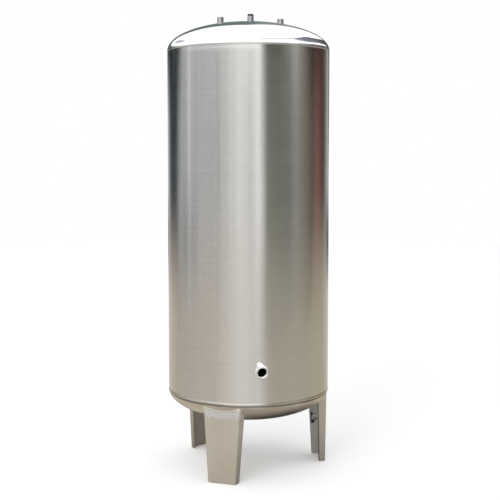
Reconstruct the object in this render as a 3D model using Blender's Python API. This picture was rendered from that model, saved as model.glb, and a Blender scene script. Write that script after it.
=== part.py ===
"""Pressure tank on three folded legs.

An upright steel shell with two shallow dished ends stands on three tapered legs folded from plate.
Three small sockets stand in a row on the top end, and one larger socket comes through the shell low down.
Metres, +Z up. The origin is on the tank's axis at floor level, and the side socket points along -Y.
"""

import math

import bmesh
import bpy
from mathutils import Vector

# Tank body
TANK_RADIUS = 0.400
WALL = 0.003
SHELL_BOTTOM = 0.386
SHELL_LENGTH = 1.675
SHELL_TOP = SHELL_BOTTOM + SHELL_LENGTH
HEAD_DEPTH = 0.140

# Clearance between pieces that touch on the real tank
GAP = 0.0003
BEAD_GAP = 0.0004

# How far a cutter reaches beyond the wall that it cuts
CUTTER_OVERSHOOT = 0.02

# Facets round the tank, round the side socket and round a top socket
TANK_SEGMENTS = 60
PORT_SEGMENTS = 32
NOZZLE_SEGMENTS = 24
HEAD_OUTER_RINGS = 10
HEAD_INNER_RINGS = 7

# Seam welds: half width along the surface and height above it, and the shoulders' shares of both
GIRTH_HALF_WIDTH = 0.005
GIRTH_HEIGHT = 0.0012
GIRTH_SHOULDER = (0.6, 0.65)
LONG_HALF_WIDTH = 0.005
LONG_HEIGHT = 0.0006
LONG_FLAT = 0.5
LONG_WELD_END_CLEARANCE = 0.006

# Fillet round a socket: where its crown lies, as shares of the leg out from the socket and up it
FILLET_CROWN = (0.62, 0.55)

# Azimuths are measured from the side socket, anticlockwise seen from above
FRONT_LEG_AZIMUTH = -28.4
LEG_AZIMUTHS = {
    "front": FRONT_LEG_AZIMUTH,
    "right": FRONT_LEG_AZIMUTH + 120.0,
    "back": FRONT_LEG_AZIMUTH + 240.0,
}

# Side socket, an inch and a half pipe size
PORT_HEIGHT = 0.538
PORT_OUTER_RADIUS = 0.0285
PORT_BORE_RADIUS = 0.0224
PORT_STICK_OUT = 0.012
PORT_STICK_IN = 0.016
PORT_CHAMFER = 0.0015
PORT_WELD_LEG = 0.0055

# Top sockets, three quarter inch pipe size, in a row along X that is a little off the crown's middle
NOZZLE_OUTER_RADIUS = 0.0155
NOZZLE_BORE_RADIUS = 0.0121
NOZZLE_STICK_OUT = 0.034
NOZZLE_STICK_IN = 0.010
NOZZLE_CHAMFER = 0.0010
NOZZLE_WELD_LEG = 0.0050
NOZZLE_SPACING = 0.150
NOZZLE_ROW_SHIFT = 0.011

# Screw cap in the middle socket
CAP_RADIUS = 0.0150
CAP_HEIGHT = 0.0090
CAP_EDGE = 0.0035
CAP_EDGE_STEPS = 3
CAP_SHANK_RADIUS = 0.0117
CAP_SHANK_LENGTH = 0.016

# Legs: folded channels with the web outside and two flanges that lean outwards
LEG_FACE_RADIUS = 0.385
LEG_PLATE = 0.004
LEG_TOP = 0.355
LEG_TOP_WIDTH = 0.181
LEG_FOOT_WIDTH = 0.138
FLANGE_TOP_WIDTH = 0.051
FLANGE_FOOT_WIDTH = 0.037
FLANGE_LEAN = math.radians(10.0)
BEND_RADIUS = 0.008
BEND_STEPS = 4
FOOT_CORNER_CUT = 0.006

# Fillet welds between a leg and the bottom end
LEG_WELD_ON_PLATE = 0.005
LEG_WELD_ON_HEAD = 0.006
LEG_WELD_BULGE = 0.0012
LEG_WELD_CROWN = 0.32
FLANGE_WELD_END_CLEARANCE = 0.004
WEB_WELD_STEPS = 14
FLANGE_WELD_STEPS = 6
FITTING_ROUNDS = 12

# Base colour, roughness and metallic value of each finish

MATERIALS = {
    "brushed_shell": ((0.62, 0.61, 0.59, 1.0), 0.35, 1.0),
    "polished_head": ((0.80, 0.81, 0.82, 1.0), 0.08, 1.0),
    "weld_bead": ((0.55, 0.54, 0.52, 1.0), 0.45, 1.0),
    "leg_plate": ((0.52, 0.49, 0.43, 1.0), 0.55, 1.0),
    "socket_steel": ((0.58, 0.58, 0.58, 1.0), 0.30, 1.0),
    "cap_plastic": ((0.05, 0.05, 0.06, 1.0), 0.50, 0.0),
}


def clear_scene():
    for obj in list(bpy.data.objects):
        bpy.data.objects.remove(obj, do_unlink=True)


def make_material(name):
    colour, roughness, metallic = MATERIALS[name]
    material = bpy.data.materials.new(name)
    material.use_nodes = True
    shader = material.node_tree.nodes["Principled BSDF"]
    shader.inputs["Base Color"].default_value = colour
    shader.inputs["Roughness"].default_value = roughness
    shader.inputs["Metallic"].default_value = metallic
    return material


def material_named(name):
    return bpy.data.materials.get(name) or make_material(name)


def add_object(name, mesh, material, location=(0, 0, 0), turn=0.0):
    obj = bpy.data.objects.new(name, mesh)
    bpy.context.scene.collection.objects.link(obj)
    obj.location = location
    obj.rotation_euler.z = turn
    if material and not mesh.materials:
        mesh.materials.append(material_named(material))
    return obj


def finish_mesh(name, bm, sharp_degrees=40.0):
    bmesh.ops.recalc_face_normals(bm, faces=bm.faces)
    mesh = bpy.data.meshes.new(name)
    bm.to_mesh(mesh)
    bm.free()
    mesh.shade_smooth()
    mesh.set_sharp_from_angle(angle=math.radians(sharp_degrees))
    return mesh


def loft(name, sections, closed):
    """Bridge equal closed sections one after another, round to the first again or with flat ends."""
    bm = bmesh.new()
    rings = [[bm.verts.new(point) for point in section] for section in sections]
    count = len(rings)
    for i in range(count if closed else count - 1):
        ring, following = rings[i], rings[(i + 1) % count]
        for j in range(len(ring)):
            k = (j + 1) % len(ring)
            bm.faces.new((ring[j], ring[k], following[k], following[j]))
    if not closed:
        bm.faces.new(rings[0])
        bm.faces.new(reversed(rings[-1]))
    return finish_mesh(name, bm)


def turned(name, profile, segments):
    """A ring-shaped body: the closed (radius, height) profile goes once round Z."""
    sections = []
    for i in range(segments):
        angle = math.tau * i / segments
        sections.append([Vector((r * math.cos(angle), r * math.sin(angle), z)) for r, z in profile])
    return loft(name, sections, closed=True)


def dome(name, outer, inner, segments):
    """A body turned about Z from open profiles whose last points lie on the axis; inner may be empty."""
    bm = bmesh.new()

    def skin(profile):
        pole = bm.verts.new((0, 0, profile[-1][1]))
        rows = []
        for r, z in profile[:-1]:
            row = []
            for i in range(segments):
                angle = math.tau * i / segments
                row.append(bm.verts.new((r * math.cos(angle), r * math.sin(angle), z)))
            rows.append(row)
        for low, high in zip(rows, rows[1:]):
            bridge(bm, low, high)
        for i in range(segments):
            bm.faces.new((rows[-1][i], rows[-1][(i + 1) % segments], pole))
        return rows[0]

    rim = skin(outer)
    if inner:
        bridge(bm, skin(inner), rim)
    else:
        bm.faces.new(rim)
    return finish_mesh(name, bm)


def bridge(bm, first, second):
    for i in range(len(first)):
        k = (i + 1) % len(first)
        bm.faces.new((first[i], first[k], second[k], second[i]))


def head_drop(distance, radius=TANK_RADIUS, depth=HEAD_DEPTH):
    """How far the outer face of a dished end lies beyond its seam, at this distance from the axis."""
    return depth * math.sqrt(max(0.0, 1.0 - (distance / radius) ** 2))


def head_profile(radius, depth, rings, seam_offset):
    """Points down an end's meridian, from the seam to the axis, spaced evenly in the ellipse's angle."""
    points = [(radius, seam_offset)]
    for i in range(1, rings):
        angle = math.pi / 2 * i / rings
        points.append((radius * math.cos(angle), max(depth * math.sin(angle), seam_offset * 2)))
    points.append((0.0, depth))
    return points


def make_head(name, material, up):
    outer = head_profile(TANK_RADIUS, HEAD_DEPTH, HEAD_OUTER_RINGS, GAP)
    inner = head_profile(TANK_RADIUS - WALL, HEAD_DEPTH - WALL, HEAD_INNER_RINGS, GAP)
    seam = SHELL_TOP if up else SHELL_BOTTOM
    side = 1.0 if up else -1.0
    mesh = dome(
        name,
        [(r, seam + side * z) for r, z in outer],
        [(r, seam + side * z) for r, z in inner],
        TANK_SEGMENTS,
    )
    return add_object(name, mesh, material)


def make_shell():
    inner = TANK_RADIUS - WALL
    profile = [
        (TANK_RADIUS, SHELL_TOP),
        (TANK_RADIUS, SHELL_BOTTOM),
        (inner, SHELL_BOTTOM),
        (inner, SHELL_TOP),
    ]
    return add_object("shell", turned("shell", profile, TANK_SEGMENTS), "brushed_shell")


def make_girth_weld(name, seam):
    """A low bead over the seam between the shell and an end."""
    base = TANK_RADIUS + GAP
    crest = base + GIRTH_HEIGHT
    shoulder_out = GIRTH_HALF_WIDTH * GIRTH_SHOULDER[0]
    shoulder_up = base + GIRTH_HEIGHT * GIRTH_SHOULDER[1]
    profile = [
        (base, seam + GIRTH_HALF_WIDTH),
        (shoulder_up, seam + shoulder_out),
        (crest, seam),
        (shoulder_up, seam - shoulder_out),
        (base, seam - GIRTH_HALF_WIDTH),
    ]
    return add_object(name, turned(name, profile, TANK_SEGMENTS), "weld_bead")


def make_long_weld():
    """The shell's own seam, a low strip down the back between the two girth welds."""
    base = TANK_RADIUS + GAP
    half_angle = LONG_HALF_WIDTH / TANK_RADIUS
    section = []
    for share, height in ((-1.0, 0.0), (-LONG_FLAT, LONG_HEIGHT), (LONG_FLAT, LONG_HEIGHT), (1.0, 0.0)):
        angle = math.pi / 2 + share * half_angle
        section.append((math.cos(angle) * (base + height), math.sin(angle) * (base + height)))
    low = SHELL_BOTTOM + LONG_WELD_END_CLEARANCE
    high = SHELL_TOP - LONG_WELD_END_CLEARANCE
    sections = [[Vector((x, y, z)) for x, y in section] for z in (low, high)]
    return add_object("shell_long_weld", loft("shell_long_weld", sections, closed=False), "weld_bead")


def socket_mesh(name, outer, bore, low, high, chamfer, segments):
    """A pipe socket along Z with a chamfer round each end, inside and out."""
    profile = [
        (outer - chamfer, high),
        (outer, high - chamfer),
        (outer, low + chamfer),
        (outer - chamfer, low),
        (bore + chamfer, low),
        (bore, low + chamfer),
        (bore, high - chamfer),
        (bore + chamfer, high),
    ]
    return turned(name, profile, segments)


def make_cutter(name, radius, low, high, segments):
    """A guide body for a round hole, left out of the model."""
    profile = [(radius, low), (radius, high), (0.0, high)]
    cutter = add_object(name, dome(name, profile, [], segments), None)
    return hide_guide(cutter)


def hide_guide(obj):
    obj.hide_render = True
    obj.display_type = "WIRE"
    return obj


def cut(obj, cutter):
    modifier = obj.modifiers.new("cut_" + cutter.name, "BOOLEAN")
    modifier.operation = "DIFFERENCE"
    modifier.solver = "EXACT"
    modifier.object = cutter


def nozzle_places():
    """Where the three top sockets stand, as (name, x)."""
    steps = (("left", -1), ("centre", 0), ("right", 1))
    return [(name, NOZZLE_ROW_SHIFT + step * NOZZLE_SPACING) for name, step in steps]


def make_top_nozzle(name, x, head):
    surface = SHELL_TOP + head_drop(abs(x))
    low, high = surface - NOZZLE_STICK_IN, surface + NOZZLE_STICK_OUT
    node = "top_nozzle_" + name
    mesh = socket_mesh(
        node, NOZZLE_OUTER_RADIUS, NOZZLE_BORE_RADIUS, low, high, NOZZLE_CHAMFER, NOZZLE_SEGMENTS
    )
    add_object(node, mesh, "socket_steel", (x, 0, 0))
    bottom = low - CUTTER_OVERSHOOT
    cutter = make_cutter(node + "_hole", NOZZLE_OUTER_RADIUS + GAP, bottom, high, NOZZLE_SEGMENTS)
    cutter.location = (x, 0, 0)
    cut(head, cutter)
    make_nozzle_weld(node + "_weld", x)
    return high


def fillet_outline(inner, leg):
    """A fillet's section as (radius, rise) from the socket's side and the surface that it stands on."""
    out, up = FILLET_CROWN
    return [(inner, 0.0), (inner + leg, 0.0), (inner + leg * out, leg * up), (inner, leg)]


def make_nozzle_weld(name, x):
    """A fillet round a top socket; its foot follows the crown's slope."""
    outline = fillet_outline(NOZZLE_OUTER_RADIUS + GAP, NOZZLE_WELD_LEG)
    sections = []
    for i in range(NOZZLE_SEGMENTS):
        angle = math.tau * i / NOZZLE_SEGMENTS
        section = []
        for r, rise in outline:
            px, py = x + r * math.cos(angle), r * math.sin(angle)
            z = SHELL_TOP + head_drop(math.hypot(px, py)) + BEAD_GAP + rise
            section.append(Vector((px, py, z)))
        sections.append(section)
    return add_object(name, loft(name, sections, closed=True), "weld_bead")


def make_nozzle_cap(x, rest):
    """The cap screwed into the middle socket: a short shank below a round head with a soft edge."""
    low = rest + GAP
    outer = [(CAP_SHANK_RADIUS, rest - CAP_SHANK_LENGTH), (CAP_SHANK_RADIUS, low), (CAP_RADIUS, low)]
    for i in range(CAP_EDGE_STEPS + 1):
        angle = math.pi / 2 * i / CAP_EDGE_STEPS
        inset = CAP_EDGE * (1 - math.cos(angle))
        rise = CAP_HEIGHT - CAP_EDGE * (1 - math.sin(angle))
        outer.append((CAP_RADIUS - inset, low + rise))
    outer.append((0.0, low + CAP_HEIGHT))
    mesh = dome("top_nozzle_cap", outer, [], NOZZLE_SEGMENTS)
    return add_object("top_nozzle_cap", mesh, "cap_plastic", (x, 0, 0))


def make_side_port(shell):
    """The larger socket through the shell; its local Z points out of the tank."""
    low, high = TANK_RADIUS - PORT_STICK_IN, TANK_RADIUS + PORT_STICK_OUT
    mesh = socket_mesh(
        "side_port", PORT_OUTER_RADIUS, PORT_BORE_RADIUS, low, high, PORT_CHAMFER, PORT_SEGMENTS
    )
    place_on_side(add_object("side_port", mesh, "socket_steel"))
    hole_low, hole_high = TANK_RADIUS - CUTTER_OVERSHOOT, TANK_RADIUS + CUTTER_OVERSHOOT
    cutter = make_cutter("side_port_hole", PORT_OUTER_RADIUS + GAP, hole_low, hole_high, PORT_SEGMENTS)
    place_on_side(cutter)
    cut(shell, cutter)
    place_on_side(add_object("side_port_weld", side_port_weld_mesh(), "weld_bead"))


def place_on_side(obj):
    """Lay a piece made along Z down so that it points along -Y at the side socket's height."""
    obj.rotation_euler.x = math.pi / 2
    obj.location.z = PORT_HEIGHT


def side_port_weld_mesh():
    outline = fillet_outline(PORT_OUTER_RADIUS + GAP, PORT_WELD_LEG)
    sections = []
    for i in range(PORT_SEGMENTS):
        angle = math.tau * i / PORT_SEGMENTS
        section = []
        for r, rise in outline:
            across, up = r * math.cos(angle), r * math.sin(angle)
            out = math.sqrt(TANK_RADIUS**2 - across**2) + BEAD_GAP + rise
            section.append(Vector((across, up, out)))
        sections.append(section)
    return loft("side_port_weld", sections, closed=True)


def leg_half_width(z):
    share = z / LEG_TOP
    return (LEG_FOOT_WIDTH + (LEG_TOP_WIDTH - LEG_FOOT_WIDTH) * share) / 2


def leg_flange_width(z):
    share = z / LEG_TOP
    return FLANGE_FOOT_WIDTH + (FLANGE_TOP_WIDTH - FLANGE_FOOT_WIDTH) * share


def leg_side_line(z, inset):
    """One side of the folded section, from the web's middle out to the flange's free edge.

    Points are (across, inwards) from the web's outer face; inset is 0 for the outer skin and the
    plate's thickness for the inner skin.
    """
    half, width = leg_half_width(z), leg_flange_width(z)
    radius = BEND_RADIUS - inset
    turn = math.pi / 2 - FLANGE_LEAN
    start = half - BEND_RADIUS * math.tan(turn / 2)
    centre = (start, BEND_RADIUS)
    points = []
    for i in range(BEND_STEPS + 1):
        angle = turn * i / BEND_STEPS
        points.append((centre[0] + radius * math.sin(angle), centre[1] - radius * math.cos(angle)))
    straight = width - BEND_RADIUS * math.tan(turn / 2)
    end_x, end_y = points[-1]
    points.append((end_x + straight * math.sin(FLANGE_LEAN), end_y + straight * math.cos(FLANGE_LEAN)))
    return points


def leg_section(z):
    outer = leg_side_line(z, 0.0)
    inner = leg_side_line(z, LEG_PLATE)
    line = outer + list(reversed(inner))
    line += [(-across, inwards) for across, inwards in inner]
    line += [(-across, inwards) for across, inwards in reversed(outer)]
    return [Vector((across, inwards - LEG_FACE_RADIUS, z)) for across, inwards in line]


def leg_mesh():
    """The folded channel from the floor to its web's top, before its top edge is fitted to the end."""
    sections = [leg_section(z) for z in (0.0, FOOT_CORNER_CUT, LEG_TOP)]
    clip_foot_corners(sections[0])
    return loft("leg", sections, closed=False)


def clip_foot_corners(section):
    """Take the sharp lower corner off each flange's free edge."""
    per_side = BEND_STEPS + 2
    for outer, inner in ((per_side - 1, per_side), (3 * per_side - 1, 3 * per_side)):
        for index, neighbour in ((outer, outer - 1), (inner, inner + 1)):
            along = (section[neighbour] - section[index]).normalized()
            section[index] = section[index] + along * FOOT_CORNER_CUT


def end_fit_cutter():
    """The bottom end's outer form with a little clearance, used to fit the legs' tops to it."""
    radius, depth = TANK_RADIUS + GAP, HEAD_DEPTH + GAP
    profile = [(radius, SHELL_BOTTOM + CUTTER_OVERSHOOT)]
    profile += [(r, SHELL_BOTTOM - z) for r, z in head_profile(radius, depth, HEAD_OUTER_RINGS, 0.0)]
    mesh = dome("end_fit", profile, [], TANK_SEGMENTS)
    return hide_guide(add_object("end_fit", mesh, None))


def head_normal(point):
    """Outward normal of the bottom end's outer face at a point on it."""
    drop = SHELL_BOTTOM - point.z
    return Vector(
        (point.x / TANK_RADIUS**2, point.y / TANK_RADIUS**2, -drop / HEAD_DEPTH**2)
    ).normalized()


def on_head(x, y):
    return Vector((x, y, SHELL_BOTTOM - head_drop(math.hypot(x, y))))


def bead_section(corner, plate_normal, plate_way):
    """A fillet's section in the corner between a plate's face and the bottom end."""
    normal = head_normal(corner)
    across = plate_way.cross(plate_normal)
    head_way = normal.cross(across).normalized()
    if head_way.dot(plate_normal) < 0:
        head_way = -head_way
    root = corner + (plate_normal + normal) * (BEAD_GAP / (1.0 + plate_normal.dot(normal)))
    low = root + plate_way * LEG_WELD_ON_PLATE
    high = root + head_way * LEG_WELD_ON_HEAD
    out = ((low + high) / 2 - root).normalized()
    crown_low = low.lerp(high, LEG_WELD_CROWN) + out * LEG_WELD_BULGE
    crown_high = high.lerp(low, LEG_WELD_CROWN) + out * LEG_WELD_BULGE
    return [root, low, crown_low, crown_high, high]


def web_weld_mesh():
    """The fillet along the web's top, on the leg's outer face."""
    reach = leg_half_width(LEG_TOP) - BEND_RADIUS
    sections = []
    for i in range(WEB_WELD_STEPS + 1):
        across = reach * (2.0 * i / WEB_WELD_STEPS - 1.0)
        corner = on_head(across, -LEG_FACE_RADIUS)
        sections.append(bead_section(corner, Vector((0, -1, 0)), Vector((0, 0, -1))))
    return loft("leg_web_weld", sections, closed=False)


def flange_point(along, z):
    """A point on a right flange's outer face, this far along it from the fold's corner."""
    across = leg_half_width(z) + along * math.sin(FLANGE_LEAN)
    return Vector((across, along * math.cos(FLANGE_LEAN) - LEG_FACE_RADIUS, z))


def flange_meets_head(along):
    point = flange_point(along, LEG_TOP)
    for _ in range(FITTING_ROUNDS):
        point = flange_point(along, on_head(point.x, point.y).z)
    return point


def flange_weld_mesh(side):
    """The fillet where a flange's outer face meets the bottom end; side is 1 for right, -1 for left."""
    first = BEND_RADIUS
    last = leg_flange_width(LEG_TOP) - FLANGE_WELD_END_CLEARANCE
    down = (flange_point(0.0, 0.0) - flange_point(0.0, LEG_TOP)).normalized()
    inwards = Vector((math.sin(FLANGE_LEAN), math.cos(FLANGE_LEAN), 0.0))
    normal = inwards.cross(-down).normalized()
    if normal.x < 0:
        normal = -normal
    sections = []
    for i in range(FLANGE_WELD_STEPS + 1):
        along = first + (last - first) * i / FLANGE_WELD_STEPS
        section = bead_section(flange_meets_head(along), normal, down)
        sections.append([Vector((side * p.x, p.y, p.z)) for p in section])
    return loft("leg_flange_weld", sections, closed=False)


def make_legs():
    cutter = end_fit_cutter()
    leg = leg_mesh()
    welds = {
        "web_weld": web_weld_mesh(),
        "right_flange_weld": flange_weld_mesh(1),
        "left_flange_weld": flange_weld_mesh(-1),
    }
    for name, azimuth in LEG_AZIMUTHS.items():
        turn = math.radians(azimuth)
        cut(add_object("leg_" + name, leg, "leg_plate", turn=turn), cutter)
        for kind, mesh in welds.items():
            add_object("leg_" + name + "_" + kind, mesh, "weld_bead", turn=turn)


def build():
    clear_scene()
    shell = make_shell()
    make_long_weld()
    top_head = make_head("top_head", "polished_head", up=True)
    make_head("bottom_head", "polished_head", up=False)
    make_girth_weld("top_girth_weld", SHELL_TOP)
    make_girth_weld("bottom_girth_weld", SHELL_BOTTOM)
    make_side_port(shell)
    for name, x in nozzle_places():
        top = make_top_nozzle(name, x, top_head)
        if name == "centre":
            make_nozzle_cap(x, top)
    make_legs()


build()
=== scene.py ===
from math import atan2, cos, exp, hypot, pi, radians, remainder, sin, sqrt, tan, tau

import bmesh
import bpy
import numpy as np
from mathutils import Matrix, Vector


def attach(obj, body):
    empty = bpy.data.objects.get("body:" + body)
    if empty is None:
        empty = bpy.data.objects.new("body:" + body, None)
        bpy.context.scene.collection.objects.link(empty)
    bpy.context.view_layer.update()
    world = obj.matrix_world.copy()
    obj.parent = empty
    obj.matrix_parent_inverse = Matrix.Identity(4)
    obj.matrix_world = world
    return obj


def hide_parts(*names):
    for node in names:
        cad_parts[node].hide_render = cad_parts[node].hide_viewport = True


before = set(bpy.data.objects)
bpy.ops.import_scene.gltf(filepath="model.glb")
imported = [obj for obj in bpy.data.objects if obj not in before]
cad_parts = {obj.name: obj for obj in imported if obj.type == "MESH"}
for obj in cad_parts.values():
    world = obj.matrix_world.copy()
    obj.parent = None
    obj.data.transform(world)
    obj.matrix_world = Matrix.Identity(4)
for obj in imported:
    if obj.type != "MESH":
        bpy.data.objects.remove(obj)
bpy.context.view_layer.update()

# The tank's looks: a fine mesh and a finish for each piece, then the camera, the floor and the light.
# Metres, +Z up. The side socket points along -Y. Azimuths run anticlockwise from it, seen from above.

# Tank body, as in the part's source
TANK_RADIUS = 0.400
WALL = 0.003
SHELL_BOTTOM = 0.386
SHELL_TOP = SHELL_BOTTOM + 1.675
HEAD_DEPTH = 0.140
GAP = 0.0003
BEAD_GAP = 0.0004
FRONT_LEG_AZIMUTH = -28.4
LEG_AZIMUTHS = {"front": FRONT_LEG_AZIMUTH, "right": FRONT_LEG_AZIMUTH + 120, "back": FRONT_LEG_AZIMUTH + 240}

# Side socket and top sockets, as in the part's source; a thread is its pitch and depth
PORT = {"outer": 0.0285, "bore": 0.0224, "chamfer": 0.0015, "thread": (0.002309, 0.00145), "segments": 96}
PORT_HEIGHT = 0.538
PORT_STICK_OUT = 0.012
PORT_STICK_IN = 0.016
PORT_WELD_LEG = 0.0055
PORT_LOBE_ANGLE = radians(108)
PORT_LOBE_WIDTH = 0.40
PORT_LOBE_REACH = 3.1
PORT_LOBE_RISE = 0.85
NOZZLE = {"outer": 0.0155, "bore": 0.0121, "chamfer": 0.0010, "thread": (0.001814, 0.0009), "segments": 72}
NOZZLE_STICK_OUT = 0.034
NOZZLE_STICK_IN = 0.010
NOZZLE_WELD_LEG = 0.0050
NOZZLE_PLACES = {"left": -0.139, "centre": 0.011, "right": 0.161}
CAP_RADIUS = 0.0150
CAP_HEIGHT = 0.0090
CAP_EDGE = 0.0035
CAP_SHANK_RADIUS = 0.0117
CAP_SHANK_LENGTH = 0.016
CAP_RIBS = 24
CAP_RIB_DEPTH = 0.0005

# Legs, as in the part's source
LEG_FACE_RADIUS = 0.385
LEG_PLATE = 0.004
LEG_TOP = 0.355
LEG_TOP_WIDTH = 0.181
LEG_FOOT_WIDTH = 0.138
FLANGE_TOP_WIDTH = 0.051
FLANGE_FOOT_WIDTH = 0.037
FLANGE_LEAN = radians(10.0)
BEND_RADIUS = 0.008
FOLD_TURN = pi / 2 - FLANGE_LEAN
FOLD_SETBACK = BEND_RADIUS * tan(FOLD_TURN / 2)
FOLD_START = LEG_TOP_WIDTH / 2 - FOLD_SETBACK
FOLD_LENGTH = BEND_RADIUS * FOLD_TURN
FOOT_CORNER_CUT = 0.006
LEG_WELD_ON_PLATE = 0.005
LEG_WELD_ON_HEAD = 0.006
EDGE_ROUNDING = 0.0006

# How far the holes' cutters reach beyond the shell's skin and beyond the crown, both ways
PORT_CUT = 0.02
NOZZLE_CUT = 0.06

# Fineness of the meshes
TANK_SEGMENTS = 288
SHELL_ROWS = 110
HEAD_OUTER_RINGS = 56
HEAD_INNER_RINGS = 20
HOLE_SEGMENTS = 96
GIRTH_SEGMENTS = 1440
CAP_SEGMENTS = 120
BEND_STEPS = 8
LEG_ROWS = 24
FITTING_ROUNDS = 12
THREAD_STEPS_PER_TURN = 12
STEPS_PER_RIPPLE = 6
PORT_WELD_RIPPLES = 52
NOZZLE_WELD_RIPPLES = 30
LONG_WELD_ROWS = 900
WEB_WELD_ROWS = 300
FLANGE_WELD_ROWS = 110
FLOOR_SEGMENTS = 96

# Faint waves of the rolled sheet: waves round the tank, radians for each metre of height, height, phase
SHEET_WAVES = ((5, 3.1, 0.00022, 0.6), (9, -5.3, 0.00012, 2.2), (14, 8.9, 0.00005, 4.4))
# How deep, and how far round it, the sheet is pulled in at each seam and at the side socket
SEAM_PULL = (0.0007, 0.016)
PORT_PULL = (0.0010, 0.034)

# Weld beads: the ripples' spacing, share of the bead's height and bow, and the fillets' own sizes
RIPPLE_SPACING = 0.0034
RIPPLE_SHARE = 0.16
RIPPLE_BOW = 0.002
FILLET_RIPPLE = 0.0022
FILLET_HOLLOW = 0.12
TOE_GAP = 0.00015
BEAD_HEIGHT = 0.0016
BEAD_END = 0.006
BEAD_SHORT = 0.004
SEAM_WELD_HALF_WIDTH = 0.005
SEAM_WELD_HEIGHT = 0.0006
# Share by which a seam's weld varies in height, and how far it drifts up and down
SEAM_WELD_WAVER = 0.12
SEAM_WELD_DRIFT = 0.0004


def new_mesh(points, faces, sharp_degrees=35.0):
    """A mesh with its faces pointing out, smooth but for edges sharper than the angle."""
    mesh = bpy.data.meshes.new("fine")
    mesh.from_pydata([tuple(p) for p in points], [], faces)
    work = bmesh.new()
    work.from_mesh(mesh)
    bmesh.ops.recalc_face_normals(work, faces=work.faces)
    work.to_mesh(mesh)
    work.free()
    mesh.shade_smooth()
    mesh.set_sharp_from_angle(angle=radians(sharp_degrees))
    return mesh


def grid_faces(rows, columns, wrap, first=0):
    """Quads between neighbours in a grid of points, numbered row by row, whose rows are closed rings."""
    faces = []
    for i in range(rows if wrap else rows - 1):
        for j in range(columns):
            i2, j2 = (i + 1) % rows, (j + 1) % columns
            quad = (i * columns + j, i * columns + j2, i2 * columns + j2, i2 * columns + j)
            faces.append(tuple(first + corner for corner in quad))
    return faces


def tube_faces(rings, count):
    """The faces of a tube of rings of points, with a flat face at each end."""
    last = (rings - 1) * count
    return grid_faces(rings, count, wrap=False) + [tuple(range(count)), tuple(range(last, last + count))]


def fan_faces(first, count, pole):
    """Triangles from a ring of points to a pole."""
    return [(first + j, first + (j + 1) % count, pole) for j in range(count)]


def round_angles(segments):
    return np.arange(segments) * tau / segments


def turned(rows, angles, x=0.0):
    """Rings of points round an upright axis at x, one for each (radii, height) row."""
    points = []
    for radii, z in rows:
        ring = zip(np.broadcast_to(radii, len(angles)), angles)
        points += [(x + r * cos(a), r * sin(a), z) for r, a in ring]
    return points


def swept(sections):
    """A body through equal closed sections, with flat ends."""
    points = [p for section in sections for p in section]
    return new_mesh(points, tube_faces(len(sections), len(sections[0])))


def cutter(radius, low, high, x=0.0):
    """A closed upright cylinder."""
    rows = [(radius, low), (radius, high)]
    return new_mesh(turned(rows, round_angles(HOLE_SEGMENTS), x), tube_faces(2, HOLE_SEGMENTS))


def lay_down(mesh):
    """Turn a mesh made along Z so that it points along -Y at the side socket's height."""
    for vertex in mesh.vertices:
        x, y, z = vertex.co
        vertex.co = (x, -z, y + PORT_HEIGHT)
    mesh.update()
    return mesh


def show(name, data):
    """A new object in the scene, whose data takes its name."""
    data.name = name
    thing = bpy.data.objects.new(name, data)
    bpy.context.scene.collection.objects.link(thing)
    return thing


def cut_through(mesh, cutters):
    """The mesh with each closed cutter mesh taken out of it."""
    body = show("body", mesh)
    guides = [show("cutter", tool) for tool in cutters]
    for guide in guides:
        modifier = body.modifiers.new(guide.name, "BOOLEAN")
        modifier.solver = "EXACT"
        modifier.object = guide
    evaluated = body.evaluated_get(bpy.context.evaluated_depsgraph_get())
    result = bpy.data.meshes.new_from_object(evaluated)
    for extra in (body, *guides):
        bpy.data.objects.remove(extra)
    return result


def exact_normals(mesh, surfaces, tolerance=0.0006):
    """Shade each face by the exact normals of the smooth surface that it lies on.

    A surface takes points and gives their distances from it and its normals there.
    """
    vertices = np.empty(len(mesh.vertices) * 3)
    mesh.vertices.foreach_get("co", vertices)
    vertices = vertices.reshape(-1, 3)
    corner_vertex = np.empty(len(mesh.loops), int)
    mesh.loops.foreach_get("vertex_index", corner_vertex)
    face_normals = np.array([face.normal for face in mesh.polygons])
    centres = np.array([face.center for face in mesh.polygons])
    sizes = [len(face.vertices) for face in mesh.polygons]
    corner_face = np.repeat(np.arange(len(mesh.polygons)), sizes)
    normals = face_normals[corner_face]
    for surface in surfaces:
        distance, normal = surface(centres)
        on_it = (np.abs(distance) < tolerance) & ((normal * face_normals).sum(1) > 0.8)
        use = on_it[corner_face]
        normals[use] = surface(vertices[corner_vertex[use]])[1]
    mesh.shade_smooth()
    mesh.normals_split_custom_set(normals.tolist())
    return mesh


def add_piece(node, mesh, material, turn=0.0, location=(0, 0, 0)):
    """A fine piece that stands for the CAD node of this name."""
    piece = show("fine_" + node, mesh)
    piece.location = location
    piece.rotation_euler.z = turn
    if not mesh.materials:
        mesh.materials.append(material)
    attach(piece, "root")
    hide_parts(node)
    return piece


# Shell

def shell_radius(angle, z):
    """The outer skin's radius: faint waves, pulled in at the girth welds and round the side socket."""
    radius = np.full(np.broadcast(angle, z).shape, TANK_RADIUS)
    for count, climb, height, phase in SHEET_WAVES:
        radius = radius + height * np.sin(count * angle + climb * z + phase)
    depth, reach = SEAM_PULL
    for seam in (SHELL_BOTTOM, SHELL_TOP):
        radius = radius - depth * np.exp(-(((z - seam) / reach) ** 2))
    depth, reach = PORT_PULL
    across = TANK_RADIUS * (np.mod(angle + pi / 2 + pi, tau) - pi)
    return radius - depth * np.exp(-(across**2 + (z - PORT_HEIGHT) ** 2) / reach**2)


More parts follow.
